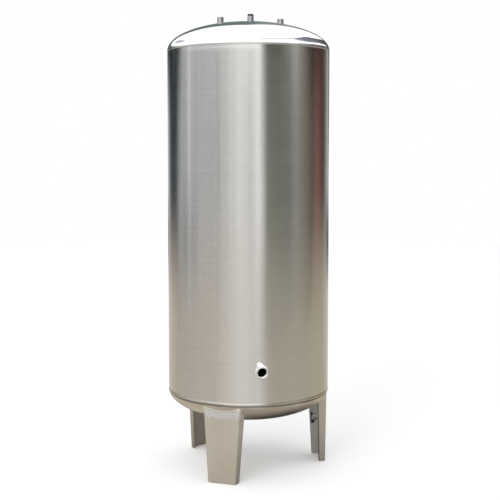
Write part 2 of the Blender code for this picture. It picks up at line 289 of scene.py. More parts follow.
def shell_skin(points, inset, side):
    """Distances from the shell's outer skin, or from one inset below it, and its normals."""
    angle, z = np.arctan2(points[:, 1], points[:, 0]), points[:, 2]
    step = 1e-4
    distance = np.hypot(points[:, 0], points[:, 1]) - shell_radius(angle, z) + inset
    round_slope = (shell_radius(angle + step, z) - shell_radius(angle - step, z)) / (2 * step * TANK_RADIUS)
    up_slope = (shell_radius(angle, z + step) - shell_radius(angle, z - step)) / (2 * step)
    x, y = np.cos(angle), np.sin(angle)
    normal = np.stack([x + round_slope * y, y - round_slope * x, -up_slope], 1)
    return distance, side * normal / np.linalg.norm(normal, axis=1)[:, None]


def make_shell(material):
    angles = round_angles(TANK_SEGMENTS)
    heights = np.linspace(SHELL_BOTTOM + GAP, SHELL_TOP - GAP, SHELL_ROWS)
    rows = [(shell_radius(angles, z), z) for z in heights]
    rows += [(shell_radius(angles, z) - WALL, z) for z in heights[::-4]]
    mesh = new_mesh(turned(rows, angles), grid_faces(len(rows), TANK_SEGMENTS, wrap=True))
    hole = cutter(PORT["outer"] + GAP, TANK_RADIUS - PORT_CUT, TANK_RADIUS + PORT_CUT)
    mesh = cut_through(mesh, [lay_down(hole)])
    skins = [lambda p: shell_skin(p, 0.0, 1), lambda p: shell_skin(p, WALL, -1)]
    add_piece("shell", exact_normals(mesh, skins), material)


# Ends

def head_drop(distance):
    """How far the outer face of a dished end lies beyond its seam, at this distance from the axis."""
    return HEAD_DEPTH * sqrt(max(0.0, 1.0 - (distance / TANK_RADIUS) ** 2))


def head_skin(points, seam, side, inset, way):
    """Distances from an end's skin and its normals; side is 1 for the top end and -1 for the bottom end."""
    radius, depth = TANK_RADIUS - inset, HEAD_DEPTH - inset
    scaled = np.stack([points[:, 0] / radius, points[:, 1] / radius, side * (points[:, 2] - seam) / depth], 1)
    distance = (np.linalg.norm(scaled, axis=1) - 1) * depth
    normal = scaled / np.array([radius, radius, side * depth])
    return distance, way * normal / np.linalg.norm(normal, axis=1)[:, None]


def head_rows(inset, rings):
    """(radius, rise) down one skin of an end, from its seam towards the axis."""
    rows = []
    for i in range(rings):
        angle = pi / 2 * i / rings
        rise = max((HEAD_DEPTH - inset) * sin(angle), GAP)
        rows.append(((TANK_RADIUS - inset) * cos(angle), rise))
    return rows


def make_head(node, seam, side, material, hole_places=()):
    rows = head_rows(0.0, HEAD_OUTER_RINGS)[::-1] + head_rows(WALL, HEAD_INNER_RINGS)
    points = turned([(r, seam + side * rise) for r, rise in rows], round_angles(TANK_SEGMENTS))
    faces = grid_faces(len(rows), TANK_SEGMENTS, wrap=False)
    for rise, first in ((HEAD_DEPTH, 0), (HEAD_DEPTH - WALL, (len(rows) - 1) * TANK_SEGMENTS)):
        faces += fan_faces(first, TANK_SEGMENTS, len(points))
        points.append((0.0, 0.0, seam + side * rise))
    mesh = new_mesh(points, faces)
    if hole_places:
        reach, crown = NOZZLE["outer"] + GAP, SHELL_TOP + HEAD_DEPTH
        low, high = crown - NOZZLE_CUT, crown + NOZZLE_CUT
        mesh = cut_through(mesh, [cutter(reach, low, high, x) for x in hole_places])
    skins = [lambda p: head_skin(p, seam, side, 0.0, 1), lambda p: head_skin(p, seam, side, WALL, -1)]
    add_piece(node, exact_normals(mesh, skins), material)


# Welds

def ripple(distance):
    """A bead's height at this distance along it: scales that rise slowly and drop fast, from 1 down."""
    phase = np.mod(distance / RIPPLE_SPACING, 1.0)
    return 1.0 - RIPPLE_SHARE * (1.0 - phase) * np.minimum(1.0, phase * 5.0) * 1.6


def make_girth_weld(node, seam, shell_side, material):
    """The dressed bead over a seam; shell_side is 1 where the shell is above it, -1 where it is below."""
    angles = round_angles(GIRTH_SEGMENTS)
    base = TANK_RADIUS + GAP
    heights = SEAM_WELD_HEIGHT * (1.0 - (1.0 - ripple(angles * base)) * 0.5)
    heights = heights * (1.0 + SEAM_WELD_WAVER * np.sin(angles * 23 + 1.0) * np.sin(angles * 7))
    drift = SEAM_WELD_DRIFT * np.sin(angles * 11 + seam)
    lines = [(np.full(GIRTH_SEGMENTS, base), seam + drift)]
    for offset in np.linspace(-1, 1, 7):
        z = seam + drift + SEAM_WELD_HALF_WIDTH * offset
        sunk = max(0.0, offset * shell_side) * (TANK_RADIUS - shell_radius(angles, z))
        lines.append((base - sunk + heights * cos(offset * pi / 2), z))
    points = []
    for i, angle in enumerate(angles):
        points += [(radii[i] * cos(angle), radii[i] * sin(angle), z[i]) for radii, z in lines]
    mesh = new_mesh(points, grid_faces(GIRTH_SEGMENTS, len(lines), wrap=True))
    add_piece(node, mesh, material)


def make_long_weld(material):
    """The shell's own seam at the back, ground nearly flush."""
    rows = np.linspace(SHELL_BOTTOM + BEAD_END, SHELL_TOP - BEAD_END, LONG_WELD_ROWS)
    base = TANK_RADIUS + GAP
    sections = []
    for z, height in zip(rows, SEAM_WELD_HEIGHT * ripple(rows)):
        section = []
        for share in np.linspace(-1, 1, 7):
            angle = pi / 2 + share * SEAM_WELD_HALF_WIDTH / TANK_RADIUS
            r = base + height * cos(share * pi / 2) ** 0.7
            section.append((r * cos(angle), r * sin(angle), z))
        sections.append(section)
    add_piece("shell_long_weld", swept(sections), material)


def fillet_ring(inner, leg_at, surface, ripples):
    """A rippled fillet round a socket along Z.

    leg_at gives its reach, rise and hollow at an angle, surface the height of what it stands on at a place.
    """
    segments = ripples * STEPS_PER_RIPPLE
    shares = np.linspace(0, 1, 9)
    points = []
    for i in range(segments):
        angle = tau * i / segments
        reach, rise, hollow = leg_at(angle)
        ring = [(inner, 0.0)]
        for share in shares:
            turn = share * pi / 2
            bulge = 1.0 - hollow * sin(2 * turn)
            place = i * RIPPLE_SPACING / STEPS_PER_RIPPLE + RIPPLE_BOW * sin(2 * turn)
            notch = FILLET_RIPPLE * (1.0 - float(ripple(place)))
            out, up = (reach * bulge - notch) * cos(turn), (rise * bulge - notch) * sin(turn)
            ring.append((inner + out, up))
        for r, up in ring[:-1] + [(inner, rise - notch)]:
            across, along = r * cos(angle), r * sin(angle)
            points.append((across, along, surface(across, along) + TOE_GAP + up))
    return new_mesh(points, grid_faces(segments, len(shares) + 1, wrap=True), 60.0)


# Sockets

def socket_profile(low, high, outer, bore, chamfer, pitch):
    """(radius, height, share of the thread's depth) round a socket's section."""
    edge = chamfer * 0.3
    first, last = low + chamfer, high - chamfer
    rows = [(outer - chamfer, high), (outer - edge, last + edge), (outer, last), (outer, last - edge)]
    rows += [(outer, first), (outer - chamfer, low), (bore + chamfer, low), (bore, first)]
    rows = [(r, z, 0.0) for r, z in rows]
    steps = int((last - first) / pitch * THREAD_STEPS_PER_TURN)
    for i in range(1, steps):
        share = i / steps
        rows.append((bore, first + (last - first) * share, min(1.0, min(share, 1 - share) * 12)))
    return rows + [(bore, last, 0.0), (bore + chamfer, high, 0.0)]


def socket_mesh(low, high, outer, bore, chamfer, thread, segments):
    """A pipe socket along Z, chamfered at both ends and threaded inside."""
    pitch, depth = thread
    angles = round_angles(segments)
    rows = []
    for r, z, share in socket_profile(low, high, outer, bore, chamfer, pitch):
        wave = np.abs(1 - 2 * np.mod(z / pitch - angles / tau, 1.0))
        rows.append((r + share * depth * wave, z))
    return new_mesh(turned(rows, angles), grid_faces(len(rows), segments, wrap=True), 30.0)


def port_weld_leg(angle):
    """Reach, rise and hollow of the side fillet: long and full above, where it was built up."""
    away, narrow = PORT_LOBE_ANGLE, PORT_LOBE_WIDTH
    lobe = exp(-((remainder(angle - away, tau) / narrow) ** 2))
    reach = PORT_WELD_LEG * (1.0 + PORT_LOBE_REACH * lobe)
    return reach, PORT_WELD_LEG * (1.0 + PORT_LOBE_RISE * lobe), FILLET_HOLLOW + 0.15 * lobe


def port_surface(across, along):
    """How far out the shell's skin lies at a place beside the side socket's axis."""
    angle = atan2(-sqrt(TANK_RADIUS**2 - across**2), across)
    return sqrt(float(shell_radius(angle, PORT_HEIGHT + along)) ** 2 - across**2)


def make_side_port(steel, weld):
    low, high = TANK_RADIUS - PORT_STICK_IN, TANK_RADIUS + PORT_STICK_OUT
    add_piece("side_port", lay_down(socket_mesh(low, high, **PORT)), steel)
    ring = fillet_ring(PORT["outer"] + GAP, port_weld_leg, port_surface, PORT_WELD_RIPPLES)
    add_piece("side_port_weld", lay_down(ring), weld)


def make_top_nozzles(steel, weld, plastic):
    for name, x in NOZZLE_PLACES.items():
        surface = SHELL_TOP + head_drop(x)
        low, high = surface - NOZZLE_STICK_IN, surface + NOZZLE_STICK_OUT
        node = "top_nozzle_" + name
        mesh = socket_mesh(low, high, **NOZZLE)
        add_piece(node, mesh, steel, location=(x, 0, 0))
        ring = fillet_ring(
            NOZZLE["outer"] + GAP,
            lambda angle: (NOZZLE_WELD_LEG, NOZZLE_WELD_LEG, FILLET_HOLLOW),
            lambda across, along, x=x: SHELL_TOP + head_drop(hypot(x + across, along)),
            NOZZLE_WELD_RIPPLES,
        )
        ring.transform(Matrix.Translation((x, 0, 0)))
        add_piece(node + "_weld", ring, weld)
        if name == "centre":
            make_cap(x, high, plastic)


def cap_rows(low):
    """(radius, height, share of the ribs' depth) up the cap, whose head starts at height low."""
    foot = low - GAP - CAP_SHANK_LENGTH
    rows = [(0.004, foot, 0.0), (CAP_SHANK_RADIUS, foot, 0.0), (CAP_SHANK_RADIUS, low, 0.0)]
    rows += [(CAP_RADIUS - 0.0004, low, 0.6), (CAP_RADIUS, low + 0.0006, 1.0)]
    steps = 6
    for i in range(steps + 1):
        turn = pi / 2 * i / steps
        inset = CAP_EDGE * (1 - cos(turn))
        rise = CAP_HEIGHT - CAP_EDGE * (1 - sin(turn))
        rows.append((CAP_RADIUS - inset, low + rise, 1.0 - i / steps))
    rows.append((CAP_RADIUS - CAP_EDGE - 0.003, low + CAP_HEIGHT, 0.0))
    rows.append((0.002, low + CAP_HEIGHT - 0.0008, 0.0))
    return rows


def make_cap(x, rest, plastic):
    """The screw cap in the middle socket: a shank under a ribbed head with a soft edge."""
    angles = round_angles(CAP_SEGMENTS)
    ribs = CAP_RIB_DEPTH * (0.5 + 0.5 * np.cos(angles * CAP_RIBS)) ** 2
    rings = [(r - ribbed * ribs, z) for r, z, ribbed in cap_rows(rest + GAP)]
    faces = tube_faces(len(rings), CAP_SEGMENTS)
    mesh = new_mesh(turned(rings, angles, x), faces, 50.0)
    add_piece("top_nozzle_cap", mesh, plastic)


# Legs

def leg_half_width(z):
    return (LEG_FOOT_WIDTH + (LEG_TOP_WIDTH - LEG_FOOT_WIDTH) * z / LEG_TOP) / 2


def leg_flange_width(z):
    return FLANGE_FOOT_WIDTH + (FLANGE_TOP_WIDTH - FLANGE_FOOT_WIDTH) * z / LEG_TOP


def leg_side_line(z, inset):
    """One side of the folded section at height z, from the web's middle to the flange's free edge."""
    start, radius = leg_half_width(z) - FOLD_SETBACK, BEND_RADIUS - inset
    points = [(start * share, inset) for share in (0.25, 0.5, 0.75)]
    for i in range(BEND_STEPS + 1):
        angle = FOLD_TURN * i / BEND_STEPS
        points.append((start + radius * sin(angle), BEND_RADIUS - radius * cos(angle)))
    straight = leg_flange_width(z) - FOLD_SETBACK - max(0.0, FOOT_CORNER_CUT - z)
    end_x, end_y = points[-1]
    for along in (straight / 2, straight):
        points.append((end_x + along * sin(FLANGE_LEAN), end_y + along * cos(FLANGE_LEAN)))
    return points


def leg_section(z):
    """Positions round the section at height z: out along one face, back along the other."""
    sides = []
    for inset in (0.0, LEG_PLATE):
        right = leg_side_line(z, inset)
        sides.append([(-a, b) for a, b in reversed(right)] + [(0.0, inset)] + right)
    outer, inner = sides
    return [(across, inwards - LEG_FACE_RADIUS, z) for across, inwards in outer + inner[::-1]]


def end_underside(x, y, clearance):
    """Height of the bottom end's outer face above or below a point."""
    reach = min(hypot(x, y) / (TANK_RADIUS + clearance), 1.0)
    return SHELL_BOTTOM - (HEAD_DEPTH + clearance) * sqrt(1 - reach**2)


def leg_point_top(index):
    """Where the edge of the leg through this point of its section meets the bottom end."""
    z = LEG_TOP
    for _ in range(FITTING_ROUNDS):
        x, y, _ = leg_section(z)[index]
        z = min(LEG_TOP, end_underside(x, y, GAP))
    return z


def leg_mesh():
    """The folded channel, its top edge fitted to the bottom end."""
    count = len(leg_section(0.0))
    tops = [leg_point_top(i) for i in range(count)]
    shares = [0.0] + [i / LEG_ROWS for i in range(LEG_ROWS + 1)]
    points = []
    for row, share in enumerate(shares):
        for i in range(count):
            z = 0.0 if row == 0 else FOOT_CORNER_CUT + (tops[i] - FOOT_CORNER_CUT) * share
            points.append(leg_section(z)[i])
    faces = grid_faces(len(shares), count, wrap=False)
    for first in (0, (len(shares) - 1) * count):
        for i in range(count // 2 - 1):
            faces.append((first + i, first + i + 1, first + count - 2 - i, first + count - 1 - i))
    return new_mesh(points, faces, 50.0)


def head_normal(point):
    """Outward normal of the bottom end's outer face at a point on it."""
    down = (SHELL_BOTTOM - point.z) / HEAD_DEPTH**2
    return Vector((point.x / TANK_RADIUS**2, point.y / TANK_RADIUS**2, -down)).normalized()


def on_bottom_end(point):
    """The point moved to just off the bottom end's outer face."""
    middle = Vector((0.0, 0.0, SHELL_BOTTOM))
    away = point - middle
    share = Vector((away.x / TANK_RADIUS, away.y / TANK_RADIUS, away.z / HEAD_DEPTH)).length
    face = middle + away / share
    return face + head_normal(face) * TOE_GAP


def leg_outer_place(past, z):
    """A point on a leg's outer face this far past the start of its right fold, and the way on from there."""
    start = leg_half_width(LEG_TOP if past < 0 else min(z, LEG_TOP)) - FOLD_SETBACK
    bent = min(max(past, 0.0), FOLD_LENGTH)
    onwards = Vector((cos(bent / BEND_RADIUS), sin(bent / BEND_RADIUS), 0.0))
    x = start + BEND_RADIUS * onwards.y + (past - bent) * onwards.x
    y = BEND_RADIUS * (1 - onwards.x) + (past - bent) * onwards.y - LEG_FACE_RADIUS
    return Vector((x, y, z)), onwards


def bead_section(past, side, end=1.0):
    """A rounded fillet's section between a leg and the bottom end; side is 1 for right, -1 for left."""
    corner, onwards = leg_outer_place(past, LEG_TOP)
    for _ in range(FITTING_ROUNDS):
        corner, onwards = leg_outer_place(past, end_underside(corner.x, corner.y, 0.0))
    lean = (LEG_TOP_WIDTH - LEG_FOOT_WIDTH) / 2 / LEG_TOP * onwards.y
    plate_way = Vector((-lean, 0.0, -1.0)).normalized()
    plate_normal = onwards.cross(-plate_way).normalized()
    normal = head_normal(corner)
    head_way = normal.cross(plate_way.cross(plate_normal)).normalized()
    if head_way.dot(plate_normal) < 0:
        head_way = -head_way
    root = corner + (plate_normal + normal) * (BEAD_GAP / (1.0 + plate_normal.dot(normal)))
    low = corner + plate_normal * TOE_GAP
    low += plate_way * (LEG_WELD_ON_PLATE * end + max(0.0, corner.z - LEG_TOP))
    high = on_bottom_end(corner + head_way * LEG_WELD_ON_HEAD * end)
    out = ((low + high) / 2 - root).normalized()
    section = [root]
    steps = 8
    for i in range(steps + 1):
        arch = sin(pi * i / steps)
        size = end * float(ripple(past + LEG_TOP_WIDTH + RIPPLE_BOW * arch))
        section.append(low.lerp(high, i / steps) + out * (BEAD_HEIGHT * size * arch))
    return [Vector((side * p.x, p.y, p.z)) for p in section]


def web_weld_mesh():
    """The fillet along the web's top, on the leg's outer face, to the middle of each fold."""
    reach = FOLD_START + FOLD_LENGTH / 2
    places = np.linspace(-reach, reach, WEB_WELD_ROWS)
    return swept([bead_section(abs(p) - FOLD_START, 1 if p > 0 else -1) for p in places])


def end_taper(left):
    """A bead's size this far from its free end, which is rounded."""
    share = min(1.0, max(0.0, left) / BEAD_END)
    return 0.2 + 0.8 * sqrt(1.0 - (1.0 - share) ** 2)


def flange_weld_mesh(side):
    """The fillet where a flange's outer face meets the bottom end; side is 1 for right, -1 for left."""
    last = FOLD_LENGTH + FLANGE_TOP_WIDTH - FOLD_SETBACK - BEAD_SHORT
    places = np.linspace(FOLD_LENGTH / 2, last, FLANGE_WELD_ROWS)
    return swept([bead_section(p, side, end_taper(last - p)) for p in places])


# A point in the middle of a leg's fold
LEG_MIDDLE = (0.0, -0.345, 0.0)
# Painted light and shade inside the fold, as tones at its foot and top; how dark the flanges grow towards
# the floor, and the strip of painted shade along their edges; how high and how strong the darkening at the
# foot is; marks, each with its place, radius, tone and strength
LEG_LOOKS = {
    "front": {
        "inside_light_and_shade": ((0.34, 0.32, 0.29), (0.34, 0.32, 0.29)),
        "flanges": (1.0, 0.2),
        "foot_darkening": (0.012, 0.5),
        "marks": (
            ((0.029, -0.385, 0.085), 0.016, (0.50, 0.34, 0.26), 0.25),
            ((-0.020, -0.385, 0.215), 0.022, (0.42, 0.38, 0.31), 0.30),
        ),
    },
    "right": {
        "inside_light_and_shade": ((0.54, 0.525, 0.515), (0.60, 0.565, 0.53)),
        "flanges": (0.6, 0.9),
        "foot_darkening": (0.012, 0.5),
        "marks": (
            ((0.082, -0.352, 0.207), 0.015, (0.03, 0.028, 0.025), 0.98),
            ((0.080, -0.356, 0.168), 0.017, (0.03, 0.028, 0.025), 0.98),
        ),
    },
    "back": {
        "inside_light_and_shade": ((0.27, 0.25, 0.225), (0.45, 0.415, 0.37)),
        "flanges": (0.88, 0.4),
        "foot_darkening": (0.034, 0.85),
        "marks": (),
    },
}


def make_legs(weld):
    leg = leg_mesh()
    beads = {
        "web_weld": web_weld_mesh(),
        "right_flange_weld": flange_weld_mesh(1),
        "left_flange_weld": flange_weld_mesh(-1),
    }
    for name, azimuth in LEG_AZIMUTHS.items():
        turn = radians(azimuth)
        plate = leg_finish("leg_plate_" + name, **LEG_LOOKS[name])
        piece = add_piece("leg_" + name, leg.copy(), plate, turn)
        bevel = piece.modifiers.new("edges", "BEVEL")
        bevel.width = EDGE_ROUNDING
        bevel.segments = 2
        bevel.angle_limit = radians(50)
        for kind, mesh in beads.items():
            add_piece("leg_" + name + "_" + kind, mesh, weld, turn)


# Finishes

# How far down from its seam the bottom end is painted darker, and how wide the strip of painted shade along a
# flange's edge is
SEAM_DARK_BAND = 0.017
EDGE_SHADE_WIDTH = 0.007
# Heights over which the painted light and shade inside a leg changes, its flanges darken and its top is
# ground bright, and the Y values over which a flange's cut edge, which gets painted shade, starts
INSIDE_BAND = (0.02, 0.30)
FLANGE_BAND = (0.26, 0.0)
GROUND_BRIGHT_BAND = (0.303, 0.332)
CUT_EDGE_BAND = (-0.362, -0.358)


class Nodes:
    """Short calls that add nodes to a shader tree."""

    def __init__(self, tree):
        self.tree = tree

    def new(self, kind, **settings):
        node = self.tree.nodes.new("ShaderNode" + kind)
        for name, value in settings.items():
            setattr(node, name, value)
        return node

    def join(self, value, socket):
        """Link an output to an input, or set the input to a plain value."""
        if isinstance(value, bpy.types.NodeSocket):
            self.tree.links.new(value, socket)
        elif isinstance(value, tuple) and socket.type == "RGBA":
            socket.default_value = (*value, 1.0)
        else:
            socket.default_value = value

    def place(self, scale):
        """Coordinates of the piece, stretched by one number or by one for each axis."""
        mapping = self.new("Mapping")
        mapping.inputs["Scale"].default_value = np.broadcast_to(scale, 3)
        self.join(self.new("TexCoord").outputs["Object"], mapping.inputs["Vector"])
        return mapping.outputs["Vector"]

    def noise(self, scale, detail=3.0, distortion=0.0):
        node = self.new("TexNoise")
        node.inputs["Scale"].default_value = 1.0
        node.inputs["Detail"].default_value = detail
        node.inputs["Distortion"].default_value = distortion
        self.join(self.place(scale), node.inputs["Vector"])
        return node.outputs["Fac"]

    def spread(self, value, low, high, to_low=0.0, to_high=1.0, smooth=False):
        """Map a range of a value to another range, clamped."""
        node = self.new("MapRange", interpolation_type="SMOOTHSTEP" if smooth else "LINEAR")
        for socket, number in zip(node.inputs, (value, low, high, to_low, to_high)):
            self.join(number, socket)
        return node.outputs["Result"]

    def calc(self, operation, first, second=0.0):
        node = self.new("Math", operation=operation)
        self.join(first, node.inputs[0])
        self.join(second, node.inputs[1])
        return node.outputs[0]

    def vector(self, operation, first, second=(0, 0, 0)):
        node = self.new("VectorMath", operation=operation)
        self.join(first, node.inputs[0])
        self.join(second, node.inputs[1])
        return node.outputs["Value" if operation in ("LENGTH", "DOT_PRODUCT") else "Vector"]

    def split(self, vector):
        node = self.new("SeparateXYZ")
        self.join(vector, node.inputs[0])
        return node.outputs

    def mix(self, share, first, second, blend="MIX"):
        """Blend two colours; each is an output or an (r, g, b) tuple."""
        node = self.new("Mix", data_type="RGBA", blend_type=blend)
        self.join(share, node.inputs["Factor"])
        self.join(first, node.inputs[6])
        self.join(second, node.inputs[7])
        return node.outputs[2]

    def tint(self, first, second):
        """One colour times another."""
        return self.mix(1.0, first, second, "MULTIPLY")

    def coat(self, tone, colour, value, low, high, strength=1.0):
        """The tone under a colour that comes in over a range of a value."""
        return self.mix(self.spread(value, low, high, 0.0, strength), tone, colour)

    def times(self, first, second):
        return self.calc("MULTIPLY", first, second)


class Finish(Nodes):
    """A Principled material that its own nodes refine."""

    def __init__(self, name, colour, roughness, metallic=1.0, **settings):
        self.material = bpy.data.materials.new(name)
        self.material.use_nodes = True
        super().__init__(self.material.node_tree)
        self.shader = self.tree.nodes["Principled BSDF"]
        self.shade("Base Color", colour)
        self.shade("Roughness", roughness)
        self.shade("Metallic", metallic)
        for socket, value in settings.items():
            self.shade(socket.replace("_", " "), value)

    def shade(self, socket, value):
        self.join(value, self.shader.inputs[socket])

    def done(self, tone, rough, *layers):
        """The material with this tone and roughness and with (height output, metres) layers as bumps."""
        self.shade("Base Color", tone)
        self.shade("Roughness", rough)
        normal = None
        for height, distance in layers:
            node = self.new("Bump")
            node.inputs["Strength"].default_value = 1.0
            node.inputs["Distance"].default_value = distance
            self.join(height, node.inputs["Height"])
            if normal:
                self.join(normal, node.inputs["Normal"])
            normal = node.outputs["Normal"]
        self.shade("Normal", normal)
        return self.material


def shell_finish():
    """Steel brushed round the tank, with fine hairlines, softer streaks and faint handling marks."""
    finish = Finish("brushed_shell", (0.62, 0.61, 0.59), 0.16, Anisotropic=0.5, Anisotropic_Rotation=0.25)
    finish.shade("Tangent", finish.new("Tangent", direction_type="RADIAL", axis="Z").outputs[0])
    hairs = finish.noise((5, 5, 1500), 2.0)
    streaks = finish.noise((2.2, 2.2, 190), 4.0)
    bands = finish.noise((1.5, 1.5, 22))
    scratches = finish.noise((26, 26, 420))
    smudges = finish.noise((7, 7, 4), 5.0, distortion=0.6)
    tone = finish.coat((0.606, 0.598, 0.582), (0.638, 0.630, 0.614), streaks, 0.35, 0.65)
    tone = finish.coat(tone, (0.614, 0.606, 0.590), bands, 0.3, 0.7, 0.5)
    tone = finish.coat(tone, (0.54, 0.53, 0.51), scratches, 0.5, 0.75, 0.35)
    tone = finish.coat(tone, (0.52, 0.51, 0.49), hairs, 0.55, 0.85, 0.2)
    rough = finish.spread(streaks, 0.3, 0.7, 0.135, 0.155)
    rough = finish.calc("ADD", rough, finish.spread(smudges, 0.45, 0.75, 0.0, 0.05))
    return finish.done(tone, rough, (hairs, 0.000004), (streaks, 0.000004))


def head_finish():
    """Steel polished to a mirror, with faint polishing swirls and a few dull patches."""
    finish = Finish("polished_head", (0.80, 0.81, 0.82), 0.06)
    swirls = finish.noise(60, distortion=1.5)
    patches = finish.noise((6, 6, 9), 4.0)
    tone = finish.coat((0.76, 0.77, 0.78), (0.83, 0.84, 0.85), patches, 0.35, 0.7)
    rough = finish.spread(patches, 0.4, 0.75, 0.04, 0.10)
    rough = finish.calc("ADD", rough, finish.spread(swirls, 0.4, 0.7, 0.0, 0.03))
    return finish.done(tone, rough, (patches, 0.0008), (swirls, 0.000008))


def bottom_finish():
    """The bottom end's satin steel, duller than the top one, a little stained, and painted darker in a band
    under its seam.
    """
    finish = Finish("satin_head", (0.66, 0.63, 0.58), 0.22)
    grain = finish.noise((160, 160, 420))
    stains = finish.noise((9, 9, 14), 5.0, distortion=0.8)
    tone = finish.coat((0.70, 0.67, 0.62), (0.62, 0.58, 0.52), stains, 0.35, 0.7)
    height = finish.split(finish.place(1))["Z"]
    # A band just under the seam is painted darker
    edge = finish.calc("ADD", height, finish.spread(stains, 0.3, 0.7, -0.002, 0.002))
    below = finish.calc("SUBTRACT", SHELL_BOTTOM, edge)
    darker_band = finish.spread(below, SEAM_DARK_BAND, SEAM_DARK_BAND * 0.7, 0.0, 0.9, smooth=True)
    tone = finish.mix(darker_band, tone, (0.20, 0.185, 0.165))
    rough = finish.spread(grain, 0.3, 0.7, 0.12, 0.18)
    return finish.done(tone, rough, (stains, 0.0002), (grain, 0.000003))


def weld_finish(name, tint, rough, metal=(0.66, 0.65, 0.62)):
    """Weld metal: bright on the ripples' crests, straw and blue in patches by the strength of the tint."""
    finish = Finish(name, metal, rough)
    grain = finish.noise(900, 2.0)
    heat = finish.noise(55, 4.0, distortion=1.0)
    straw = finish.spread(heat, 0.45, 0.60, 0.0, tint)
    blue = finish.spread(heat, 0.62, 0.74, 0.0, tint)
    tone = finish.mix(straw, metal, (0.50, 0.42, 0.30))
    tone = finish.mix(blue, tone, (0.30, 0.31, 0.36))
    return finish.done(tone, finish.spread(grain, 0.3, 0.7, rough * 0.9, rough * 1.1), (grain, 0.000012))


def inside_share(finish, position):
    """1 on the faces that look into the fold of a leg, which get painted light and shade, 0 on its outer
    faces.
    """
    inwards = finish.vector("MULTIPLY", finish.vector("SUBTRACT", LEG_MIDDLE, position), (1, 1, 0))
    normal = finish.new("TexCoord").outputs["Normal"]
    return finish.spread(finish.vector("DOT_PRODUCT", inwards, normal), 0.0, 0.01)


def flange_shade(finish, height, inside, strength):
    """A leg's flanges grow darker towards the floor on their outer faces."""
    across = finish.split(finish.new("TexCoord").outputs["Normal"])["X"]
    flange = finish.spread(finish.calc("SUBTRACT", finish.calc("ABSOLUTE", across), inside), 0.5, 0.9)
    return finish.times(flange, finish.spread(height, *FLANGE_BAND, 0.0, strength))


def cut_edge_shade(finish, position):
    """1 on the cut edges of a leg's flanges, which get painted shade."""
    inwards = finish.split(finish.new("TexCoord").outputs["Normal"])["Y"]
    cut = finish.spread(finish.split(position)["Y"], *CUT_EDGE_BAND)
    return finish.times(cut, finish.spread(inwards, 0.6, 0.9, 0.0, 0.85))


def edge_shade_strip(finish, position, inside, strength):
    """A strip of painted shade on the outer faces of a leg's flanges, along their free edges."""
    parts = finish.split(position)
    widening = (FLANGE_TOP_WIDTH - FLANGE_FOOT_WIDTH) / LEG_TOP
    inwards = finish.calc("SUBTRACT", parts["Y"], finish.times(parts["Z"], widening))
    foot_edge = FLANGE_FOOT_WIDTH - LEG_FACE_RADIUS
    close = finish.spread(inwards, foot_edge - EDGE_SHADE_WIDTH, foot_edge - EDGE_SHADE_WIDTH * 0.6, 0.0, strength)
    return finish.times(close, finish.calc("SUBTRACT", 1.0, inside))


def leg_marks(finish, tone, position, marks):
    """The tone with ragged blots on it."""
    blots = finish.noise(70, 4.0, distortion=0.4)
    for centre, radius, mark_tone, strength in marks:
        distance = finish.vector("LENGTH", finish.vector("SUBTRACT", position, centre))
        ragged = finish.calc("ADD", distance, finish.spread(blots, 0.35, 0.65, -radius, radius))
        share = finish.spread(ragged, radius * 1.3, radius * 0.2, 0.0, strength, smooth=True)
        tone = finish.mix(share, tone, mark_tone)
    return tone


def leg_finish(name, inside_light_and_shade, flanges, foot_darkening, marks):
    """Matt mill plate: mottled beige grey, ground at its top, painted light and shade inside, painted shade
    on the flanges and their edges, darker at the foot.
    """
    finish = Finish(name, (0.42, 0.38, 0.32), 0.5, 0.35)
    mottle = finish.noise(9, 5.0, distortion=0.5)
    grain = finish.noise((420, 420, 90))
    edge_noise = finish.noise(45, 4.0)
    position = finish.place(1)
    height = finish.split(position)["Z"]
    shade, strip = flanges
    tone = finish.coat((0.440, 0.400, 0.332), (0.395, 0.352, 0.285), mottle, 0.35, 0.68)
    tone = finish.coat(tone, (0.43, 0.395, 0.335), grain, 0.35, 0.7, 0.4)
    patchy = finish.spread(mottle, 0.3, 0.7, 0.95, 0.7)
    inside = finish.times(inside_share(finish, position), patchy)
    # Painted light and shade inside the fold: tones for how lit or shaded each leg's inside is
    tone = finish.mix(inside, tone, finish.mix(finish.spread(height, *INSIDE_BAND), *inside_light_and_shade))
    tone = finish.mix(flange_shade(finish, height, inside, shade), tone, (0.24, 0.22, 0.19))
    # Painted shade: a dark strip along the flanges' free edges
    tone = finish.mix(edge_shade_strip(finish, position, inside, strip), tone, (0.08, 0.07, 0.065))
    # Painted shade on the flanges' cut edges
    tone = finish.mix(cut_edge_shade(finish, position), tone, (0.13, 0.12, 0.11))
    edge = finish.calc("ADD", height, finish.spread(edge_noise, 0.3, 0.7, -0.012, 0.012))
    ground = finish.spread(edge, *GROUND_BRIGHT_BAND, 0.0, 0.6, smooth=True)
    tone = finish.mix(ground, tone, (0.53, 0.535, 0.54))
    # Darker towards the foot, over this height and with this strength
    darkening_top, darkening_strength = foot_darkening
    darker_foot = finish.spread(edge, darkening_top, -0.008, 0.0, darkening_strength, smooth=True)
    tone = finish.mix(darker_foot, tone, (0.22, 0.19, 0.14))
    tone = leg_marks(finish, tone, position, marks)
    rough = finish.spread(grain, 0.3, 0.7, 0.42, 0.55)
    rough = finish.calc("SUBTRACT", rough, finish.times(ground, 0.14))
    return finish.done(tone, rough, (mottle, 0.0004), (grain, 0.00004))


def socket_finish(name, bright, dull):
    """Turned steel with fine tool rings, from a bright to a dull tone in patches."""
    finish = Finish(name, bright, 0.24)
    rings = finish.noise((40, 40, 2600), 2.0)
    marks = finish.noise(130)
    tone = finish.coat(bright, dull, marks, 0.35, 0.7)
    return finish.done(tone, finish.spread(rings, 0.3, 0.7, 0.20, 0.34), (rings, 0.00002))


